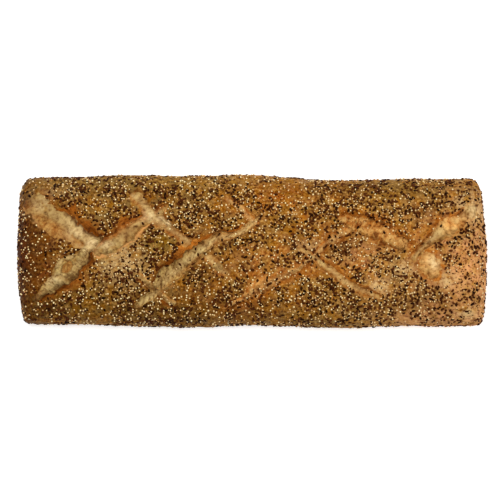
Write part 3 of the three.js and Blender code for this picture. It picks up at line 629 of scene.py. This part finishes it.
def make_crust():
    points, size, edge = crust_points()
    x, y, z = (points[key] for key in ("x", "y", "z"))
    cut_height, bare, looks = cuts_at(x, y)
    facing = np.stack([points[key] for key in ("fx", "fy", "fz")])
    facing /= np.linalg.norm(facing, axis=0)
    height = swells(x, y, z, *SWELLS) + cut_height
    height = height + crust_detail(x, y, z) * (1 - 0.6 * smooth(-0.1, 0.1, looks["inside"]))
    raised = (place + way * height * points["share"] for place, way in zip((x, y, z), facing))
    x, y, z = warped(*raised)
    looks = crust_looks(x, y, z, facing[2], bare, looks)
    x, y = x - (x.min() + x.max()) / 2, y - (y.min() + y.max()) / 2
    mesh = bpy.data.meshes.new("crust")
    mesh.from_pydata((np.stack([x, y, z], axis=1) * MM).tolist(), [], crust_faces(size, edge))
    for name, values in looks.items():
        layer = mesh.attributes.new(name, "FLOAT", "POINT")
        layer.data.foreach_set("value", values.astype(np.float32))
    mesh.shade_smooth()
    obj = bpy.data.objects.new("crust", mesh)
    bpy.context.scene.collection.objects.link(obj)
    return obj


# Nodes and colours

def linear(code, alpha=1.0):
    """An sRGB colour such as "#9a6c36" as linear red, green, blue and alpha."""
    parts = [int(code[i : i + 2], 16) / 255 for i in (1, 3, 5)]
    return (*(v / 12.92 if v <= 0.04045 else ((v + 0.055) / 1.055) ** 2.4 for v in parts), alpha)


def add(tree, kind, inputs=None, **settings):
    """Adds a node with its settings, and sets or links its inputs by name or number. A node stands for its
    first output."""
    made = tree.nodes.new(kind)
    for name, value in settings.items():
        setattr(made, name, value)
    for name, value in (inputs or {}).items():
        if isinstance(value, bpy.types.Node):
            value = value.outputs[0]
        if isinstance(value, bpy.types.NodeSocket):
            tree.links.new(value, made.inputs[name])
        else:
            made.inputs[name].default_value = value
    return made


def new_material(name):
    material = bpy.data.materials.new(name)
    material.use_nodes = True
    material.node_tree.nodes.clear()
    return material, material.node_tree


# Layers of colour, from below up: where the crust carries it, the pattern that breaks it up, the values of
# the pattern where the layer starts and is full, its strength there, its colour, and how it is mixed where
# it doesn't just cover
CRUST_LAYERS = [
    (None, "big", 0.4, 0.6, 1.0, "#9c680c"),
    (None, "patch", 0.51, 0.58, 0.8, "#a8680c"),
    (None, "patch", 0.49, 0.41, 0.6, "#967440"),
    (None, "middle", 0.5, 0.42, 0.6, "#866a38"),
    (None, "middle", 0.52, 0.6, 0.7, "#9e6410"),
    ("floury", None, 0, 1, 0.8, "#8c6a2c"),
    ("rosy", "middle", 0.75, 0.4, 1.0, "#e4a066"),
    ("orange", "middle", 0.65, 0.4, 1.0, "#ae5a10"),
    ("olive", None, 0, 1, 0.7, "#80600c"),
    ("flax_cover", None, 0, 1, 0.6, "#846028"),
    ("pale", "middle", 0.7, 0.46, 1.0, "#dab67c"),
    (None, "fine", 0.55, 0.68, 0.6, "#dcaa5a"),
    # painted shade: tiny dark specks for the shadows of the crust's fine roughness
    (None, "fine", 0.48, 0.36, 0.7, "#86562a", "MULTIPLY"),
    ("browned", None, 0, 1, 1.0, "#7c5018", "MULTIPLY"),
    ("halo", "middle", 0.6, 0.4, 0.6, "#8e4c0e"),
]
CRUMB_LAYERS = [
    (None, "middle", 0.54, 0.62, 0.3, "#b0782c"),
    ("gold", None, 0, 1, 1.0, "#ac6018"),
    # painted highlight on the crown of the flesh and the tops of lumps, over crumb that dried paler
    ("pale_crown_and_highlight", None, 0, 1, 1.0, "#ceac72"),
    ("peach", "middle", 0.75, 0.45, 1.0, "#f0ac5c"),
    ("cream", "middle", 0.7, 0.5, 1.0, "#f4d298"),
    # painted shade in the hollows of the flesh's unevenness and painted highlights on its tops
    (None, "folds", 0.5, 0.2, 0.8, "#946e34", "MULTIPLY"),
    (None, "folds", 0.55, 0.9, 0.75, "#8a7648", "SCREEN"),
    # the crumb's own streaks, with painted shade in its grooves and pits and painted highlights on strands
    ("streaky", "fibre", 0.5, 0.62, 0.8, "#86703c", "SCREEN"),
    ("streaky", "fibre", 0.48, 0.34, 1.0, "#8c6a34", "MULTIPLY"),
    (None, "fine", 0.54, 0.66, 0.5, "#86703c", "SCREEN"),
    (None, "fine", 0.46, 0.35, 0.45, "#9c7840", "MULTIPLY"),
    (None, "grain", 0.52, 0.66, 0.35, "#86703c", "SCREEN"),
    # painted shade on the flesh in a few spots
    ("painted_shade_spots", None, 0, 1, 1.0, "#b89060", "MULTIPLY"),
    # painted shade in the fold under the lifted edge
    ("painted_crease_shade", None, 0, 1, 1.0, "#542a08"),
]
EDGE_LAYERS = [
    (None, "grown", 0.42, 0.62, 0.55, "#8f4a0c"),
    (None, "middle", 0.5, 0.62, 0.45, "#9a520c"),
    # painted light: the lifted edge brightened orange over its own browned colour, with painted highlights
    ("painted_edge_light", None, 0, 1, 0.9, "#b8661a"),
    ("painted_edge_light", "grown", 0.45, 0.6, 0.45, "#e89a40"),
    ("painted_edge_light", "fine", 0.5, 0.62, 0.6, "#e0943c"),
    ("far_side", None, 0, 1, 0.75, "#dca05c"),
]

# Mottling of the crust: name, size and how much finer detail it has
MOTTLES = [("big", 26, 3), ("patch", 15, 2), ("middle", 9, 3), ("fine", 3.4, 3), ("grain", 1.2, 2)]
STREAK_WIDTH = 3  # of the torn crumb and the lifted edge
STREAK_LENGTH = 7.5
SHADED_RIGHT_FROM = (40, 200)  # where along the loaf the seeds start to get painted shade, and where most


def layered(tree, colour, layers, carried, patterns):
    """Lays the layers over a base colour."""
    for where, pattern, start, full, strength, tint, *blend in layers:
        amount = strength
        if pattern:
            amount = add(tree, "ShaderNodeMapRange", {
                "Value": patterns[pattern], "From Min": start, "From Max": full, "To Max": strength,
            })
        if where:
            amount = add(tree, "ShaderNodeMath", {0: carried[where], 1: amount}, operation="MULTIPLY")
        colour = add(tree, "ShaderNodeMix", {
            0: amount, 6: colour, 7: linear(tint),
        }, data_type="RGBA", blend_type=blend[0] if blend else "MIX").outputs[2]
    return colour


def crust_patterns(tree, place, carried):
    """Mottling of the crust at several sizes, and the streaks of the torn crumb and of the lifted edge."""
    # folds: the flesh's unevenness, for painted shade in its hollows and painted highlights on its tops
    patterns = {"folds": carried["relief"]}
    for name, size, detail in MOTTLES:
        patterns[name] = add(tree, "ShaderNodeTexNoise", {
            "Vector": place, "Scale": 1 / (size * MM), "Detail": float(detail), "Roughness": 0.55,
        })
    # The crumb stretched as it tore, so its streaks run across the cut, and those of the edge run along it
    for name, long_way, short_way, distortion in (
        ("streak", "over", "run", 0.6), ("grown", "run", "over", 0.8),
    ):
        slow = add(tree, "ShaderNodeMath", {
            0: carried[long_way], 1: STREAK_WIDTH / STREAK_LENGTH,
        }, operation="MULTIPLY")
        stretched = add(tree, "ShaderNodeCombineXYZ", {0: carried[short_way], 1: slow})
        patterns[name] = add(tree, "ShaderNodeTexNoise", {
            "Vector": stretched, "Scale": 1 / (STREAK_WIDTH * MM), "Detail": 2.0, "Distortion": distortion,
        })
    patterns["fibre"] = add(tree, "ShaderNodeMix", {0: 0.3, 2: patterns["streak"], 3: patterns["fine"]})
    return patterns


def torn_edge(tree, depth, pattern, frayed, full):
    """0 outside a torn edge and 1 inside it, where depth, in half widths, reaches full. The pattern frays
    the edge over as much of the half width as is given."""
    aside = add(tree, "ShaderNodeMath", {0: pattern, 1: frayed, 2: -frayed / 2}, operation="MULTIPLY_ADD")
    value = add(tree, "ShaderNodeMath", {0: depth, 1: aside}, operation="ADD")
    return add(tree, "ShaderNodeMapRange", {"Value": value, "From Min": -0.03, "From Max": full})


def crust_bump(tree, patterns, on_crumb, streaky):
    """Roughness too fine for the mesh: streaks in the torn crumb, and the grain of flour everywhere."""
    shown = add(tree, "ShaderNodeMath", {0: on_crumb, 1: streaky}, operation="MULTIPLY")
    fibre = add(tree, "ShaderNodeMath", {
        0: patterns["streak"], 1: shown, 2: patterns["fine"],
    }, operation="MULTIPLY_ADD")
    bump = add(tree, "ShaderNodeBump", {"Height": fibre, "Distance": 1.6 * MM, "Strength": 0.9})
    return add(tree, "ShaderNodeBump", {
        "Height": patterns["grain"], "Distance": 0.4 * MM, "Strength": 0.5, "Normal": bump,
    })


def baked_crust():
    """Wheat crust baked on a hearth: dry and matt with a faint satin where starch glazed it. Sugars in it
    browned unevenly, so it is mottled at the size of a fingertip, and paler flour stayed in its hollows.
    Where it tore, the crumb dried to a fibrous golden skin, and the lifted edges caught the most heat."""
    material, tree = new_material("baked wheat crust with torn crumb")
    place = add(tree, "ShaderNodeTexCoord").outputs["Object"]
    names = [*TINTS, *FLESH_LOOKS, *EDGE_LOOKS, "flax_cover", "halo", "inside", "rim"]
    carried = {name: add(tree, "ShaderNodeAttribute", attribute_name=name).outputs["Fac"] for name in names}
    patterns = crust_patterns(tree, place, carried)

    # Painted in these: shade in folds, pits and creases, and light on the crumb's crowns and the lifted edges
    crust = layered(tree, linear("#7a4a04"), CRUST_LAYERS, carried, patterns)
    crumb = layered(tree, linear("#8e6936"), CRUMB_LAYERS, carried, patterns)
    edge = layered(tree, linear("#4c2204"), EDGE_LAYERS, carried, patterns)
    on_edge = torn_edge(tree, carried["rim"], patterns["middle"], 1.6, 0.25)
    on_edge = add(tree, "ShaderNodeMath", {0: on_edge, 1: carried["rim_strength"]}, operation="MULTIPLY")
    on_crumb = torn_edge(tree, carried["inside"], patterns["fine"], 0.5, 0.07)
    colour = add(tree, "ShaderNodeMix", {0: on_edge, 6: crust, 7: edge}, data_type="RGBA").outputs[2]
    colour = add(tree, "ShaderNodeMix", {0: on_crumb, 6: colour, 7: crumb}, data_type="RGBA").outputs[2]

    rough = add(tree, "ShaderNodeMapRange", {
        "Value": patterns["middle"], "From Min": 0.3, "From Max": 0.7, "To Min": 0.65, "To Max": 0.85,
    })
    shader = add(tree, "ShaderNodeBsdfPrincipled", {
        "Base Color": colour, "Roughness": rough, "IOR": 1.4, "Specular IOR Level": 0.08,
        "Normal": crust_bump(tree, patterns, on_crumb, carried["streaky"]),
    })
    add(tree, "ShaderNodeOutputMaterial", {"Surface": shader})
    return material


def seed_coat(name, dark, light, roughness, gloss, shaded_right=0.0):
    """A dry seed's coat, from its darkest to its lightest, each seed its own shade. Towards the right end of
    the loaf the seeds are painted darker, as painted shade, by as much as is given."""
    material, tree = new_material(name)
    shade = add(tree, "ShaderNodeAttribute", attribute_name="shade").outputs["Fac"]
    place = add(tree, "ShaderNodeTexCoord").outputs["Object"]
    along = add(tree, "ShaderNodeSeparateXYZ", {0: place})
    left = add(tree, "ShaderNodeMapRange", {
        "Value": along, "From Min": SHADED_RIGHT_FROM[0] * MM, "From Max": SHADED_RIGHT_FROM[1] * MM, "To Min": 1.0,
        "To Max": 1 - shaded_right,
    })
    shade = add(tree, "ShaderNodeMath", {0: shade, 1: left}, operation="MULTIPLY")
    colour = add(tree, "ShaderNodeMix", {
        0: shade, 6: linear(dark), 7: linear(light),
    }, data_type="RGBA").outputs[2]
    shader = add(tree, "ShaderNodeBsdfPrincipled", {
        "Base Color": colour, "Roughness": roughness, "IOR": 1.48, "Specular IOR Level": gloss,
    })
    add(tree, "ShaderNodeOutputMaterial", {"Surface": shader})
    return material


SEED_INPUTS = dict(
    Float=("Length", "Width", "Thickness", "Spacing", "Point", "Sunk", "Tilt", "Spread", "Density", "Cover"),
    Int=("Sides", "Rings", "Seed"),
    Material=("Coat",),
)
IN_MM = SEED_INPUTS["Float"][:4]


def seed_tree():
    """Scatters one kind of seed over a crust: each lies on its flat side, turned at random, partly sunk."""
    tree = bpy.data.node_groups.new("Seeds on a crust", "GeometryNodeTree")
    face = tree.interface
    face.new_socket("Geometry", in_out="INPUT", socket_type="NodeSocketGeometry")
    for kind, names in SEED_INPUTS.items():
        for name in names:
            face.new_socket(name, in_out="INPUT", socket_type="NodeSocket" + kind)
    face.new_socket("Geometry", in_out="OUTPUT", socket_type="NodeSocketGeometry")
    given = add(tree, "NodeGroupInput").outputs

    ball = add(tree, "GeometryNodeMeshUVSphere", {
        "Segments": given["Sides"], "Rings": given["Rings"], "Radius": 0.5,
    })
    spot = add(tree, "GeometryNodeInputPosition")
    parts = add(tree, "ShaderNodeSeparateXYZ", {0: spot}).outputs
    # One sum a line: its name, what it does and its two sides, by name or as they are
    names = sum(SEED_INPUTS.values(), ())
    sums = dict(zip("xyz", parts), **{name.lower(): given[name] for name in names})
    for name, operation, one, other in (
        ("forward", "ADD", "x", 0.1),
        ("narrowed", "MULTIPLY", "forward", "point"),
        ("taper", "SUBTRACT", 1.0, "narrowed"),
        ("long", "MULTIPLY", "x", "length"),
        ("side", "MULTIPLY", "y", "taper"),
        ("wide", "MULTIPLY", "side", "width"),
        ("out", "SUBTRACT", 0.5, "sunk"),
        ("lift", "MULTIPLY", "out", "thickness"),
        ("high", "MULTIPLY", "z", "thickness"),
        ("tall", "ADD", "high", "lift"),
        ("tilt_back", "MULTIPLY", "tilt", -1.0),
        ("smallest", "SUBTRACT", 1.0, "spread"),
        ("largest", "ADD", 1.0, "spread"),
        ("size_seed", "ADD", "seed", 1.0),
        ("shade_seed", "ADD", "seed", 2.0),
    ):
        sides = {0: sums.get(one, one), 1: sums.get(other, other)}
        sums[name] = add(tree, "ShaderNodeMath", sides, operation=operation)
    shape = add(tree, "ShaderNodeCombineXYZ", {0: sums["long"], 1: sums["wide"], 2: sums["tall"]})
    seed = add(tree, "GeometryNodeSetPosition", {"Geometry": ball.outputs["Mesh"], "Position": shape})
    seed = add(tree, "GeometryNodeSetShadeSmooth", {0: seed})

    scatter = add(tree, "GeometryNodeDistributePointsOnFaces", {
        "Mesh": given["Geometry"], "Distance Min": given["Spacing"], "Density Max": given["Density"],
        "Density Factor": given["Cover"], "Seed": given["Seed"],
    }, distribute_method="POISSON")
    low = add(tree, "ShaderNodeCombineXYZ", {0: sums["tilt_back"], 1: sums["tilt_back"]})
    high = add(tree, "ShaderNodeCombineXYZ", {0: given["Tilt"], 1: given["Tilt"], 2: 2 * math.pi})
    turn = add(tree, "FunctionNodeRandomValue", {
        0: low, 1: high, "Seed": given["Seed"],
    }, data_type="FLOAT_VECTOR")
    turn = add(tree, "FunctionNodeEulerToRotation", {0: turn})
    facing = add(tree, "FunctionNodeRotateRotation", {
        0: scatter.outputs["Rotation"], 1: turn,
    }, rotation_space="LOCAL")
    size = add(tree, "FunctionNodeRandomValue", {
        2: sums["smallest"], 3: sums["largest"], "Seed": sums["size_seed"],
    }, data_type="FLOAT")
    shade = add(tree, "FunctionNodeRandomValue", {
        2: 0.0, 3: 1.0, "Seed": sums["shade_seed"],
    }, data_type="FLOAT")
    placed = add(tree, "GeometryNodeInstanceOnPoints", {
        "Points": scatter.outputs["Points"], "Instance": seed, "Rotation": facing,
        "Scale": size.outputs[1],
    })
    shaded = add(tree, "GeometryNodeStoreNamedAttribute", {
        "Geometry": placed, "Name": "shade", "Value": shade.outputs[1],
    }, data_type="FLOAT", domain="INSTANCE")
    real = add(tree, "GeometryNodeRealizeInstances", {"Geometry": shaded})
    coated = add(tree, "GeometryNodeSetMaterial", {"Geometry": real, "Material": given["Coat"]})
    add(tree, "NodeGroupOutput", {"Geometry": coated})
    return tree


def scattered(tree, crust, name, cover, settings):
    """One kind of seed as a plain mesh, from the tree run on the crust."""
    obj = bpy.data.objects.new(name, crust.data)
    bpy.context.scene.collection.objects.link(obj)
    modifier = obj.modifiers.new("seeds", "NODES")
    modifier.node_group = tree
    keys = {item.name: item.identifier for item in tree.interface.items_tree if item.in_out == "INPUT"}
    for label, value in settings.items():
        modifier[keys[label]] = value * MM if label in IN_MM else value
    modifier[keys["Cover"] + "_use_attribute"] = True
    modifier[keys["Cover"] + "_attribute_name"] = cover
    graph = bpy.context.evaluated_depsgraph_get()
    mesh = bpy.data.meshes.new_from_object(
        obj.evaluated_get(graph), preserve_all_data_layers=True, depsgraph=graph,
    )
    obj.modifiers.remove(modifier)
    obj.data = mesh
    mesh.name = name
    return obj


SOFT_LIGHTS = [  # name, place and size in metres, power in watts
    ("back softbox", (-0.7, 1.1, 1.7), 0.6, 15.5),
    ("overhead softbox", (-0.05, 0.1, 2.1), 0.8, 21),
    ("right fill", (1.5, 0.1, 0.9), 0.6, 8.5),
]
PHOTO_PIXELS = 500  # width of the photo's frame
MM_PER_PIXEL = 1.198  # at the loaf's widest line
PHOTO_MIDDLE = (-2.4, 1.8)  # the place on the loaf in the middle of the photo
LENS = 300  # long, since the photo shows hardly any perspective
SENSOR = 36


def make_floor():
    """A plain pale floor."""
    # Matt white paint scatters the light evenly, so the floor shows no glint and only a soft shadow
    material, tree = new_material("matt white floor")
    shader = add(tree, "ShaderNodeBsdfPrincipled", {
        "Base Color": linear("#f4f4f2"), "Roughness": 0.9, "Emission Color": (1, 1, 1, 1),
        "Emission Strength": 0.5,
    })
    add(tree, "ShaderNodeOutputMaterial", {"Surface": shader})
    bpy.ops.mesh.primitive_plane_add(size=40)
    floor = bpy.context.object
    floor.name = "floor"
    floor.data.materials.append(material)


def light_studio():
    """An even pale surround, with soft light from the back, from above and a little from the right."""
    scene = bpy.context.scene
    scene.view_settings.view_transform = "Standard"
    world = scene.world or bpy.data.worlds.new("studio")
    scene.world = world
    world.use_nodes = True
    world.node_tree.nodes.clear()
    sky = add(world.node_tree, "ShaderNodeBackground", {"Color": (1, 1, 1, 1), "Strength": 0.28})
    add(world.node_tree, "ShaderNodeOutputWorld", {"Surface": sky})
    for name, place, size, power in SOFT_LIGHTS:
        lamp = bpy.data.lights.new(name, "AREA")
        lamp.size = size
        lamp.energy = power
        obj = bpy.data.objects.new(name, lamp)
        scene.collection.objects.link(obj)
        obj.location = place
        obj.rotation_euler = (-obj.location).to_track_quat("-Z", "Y").to_euler()


def place_camera():
    """Straight above the loaf, so far up that the photo's frame fits at the loaf's widest line."""
    lens = bpy.data.cameras.new("camera")
    lens.lens = LENS
    lens.sensor_width = SENSOR
    lens.clip_end = 50
    camera = bpy.data.objects.new("camera", lens)
    bpy.context.scene.collection.objects.link(camera)
    x, y = PHOTO_MIDDLE
    up = WAIST + PHOTO_PIXELS * MM_PER_PIXEL * LENS / SENSOR
    camera.location = (x * MM, y * MM, up * MM)
    bpy.context.scene.camera = camera


crust = make_crust()
crust.data.materials.append(baked_crust())
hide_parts("loaf")
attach(crust, "root")

# Whole dry seeds, stuck on the wet dough and baked with it. Flax has a smooth thin shell that the oven
# dulled, so it stays dark with hardly a glint. Hulled millet is bare starch, toasted cream to gold and
# faintly shiny. Poppy seeds are pitted, so they are matt specks.
flax_coat = seed_coat("brown flax seed coat", "#1a0500", "#54280c", 0.6, 0.03)
# Towards the right end the millet is painted darker, as painted shade
millet_coat = seed_coat("hulled millet", "#b8761e", "#ffe8aa", 0.25, 0.5, shaded_right=0.18)
poppy_coat = seed_coat("poppy seed coat", "#260e02", "#4e280e", 0.8, 0.02)
tree = seed_tree()
# Sizes and spacing are in mm, and density is in seeds to a square metre. Real poppy seeds are about 1.2 mm
# long, too fine to show here, so they are drawn half as large again.
KINDS = dict(
    flax=dict(
        Length=4.6, Width=2.9, Thickness=1.6, Spacing=2.5, Point=0.35, Sunk=0.3, Tilt=0.25, Spread=0.2,
        Density=90000.0, Sides=8, Rings=5, Seed=3, Coat=flax_coat,
    ),
    millet=dict(
        Length=2.2, Width=2.0, Thickness=1.9, Spacing=2.1, Point=0.1, Sunk=0.35, Tilt=0.5, Spread=0.2,
        Density=72000.0, Sides=7, Rings=4, Seed=12, Coat=millet_coat,
    ),
    poppy=dict(
        Length=1.9, Width=1.5, Thickness=1.2, Spacing=2.0, Point=0.1, Sunk=0.35, Tilt=0.5, Spread=0.3,
        Density=42000.0, Sides=6, Rings=4, Seed=31, Coat=poppy_coat,
    ),
)
for kind, settings in KINDS.items():
    seeds = scattered(tree, crust, kind + "_seeds", kind + "_cover", settings)
    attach(seeds, "root")

make_floor()
light_studio()
place_camera()
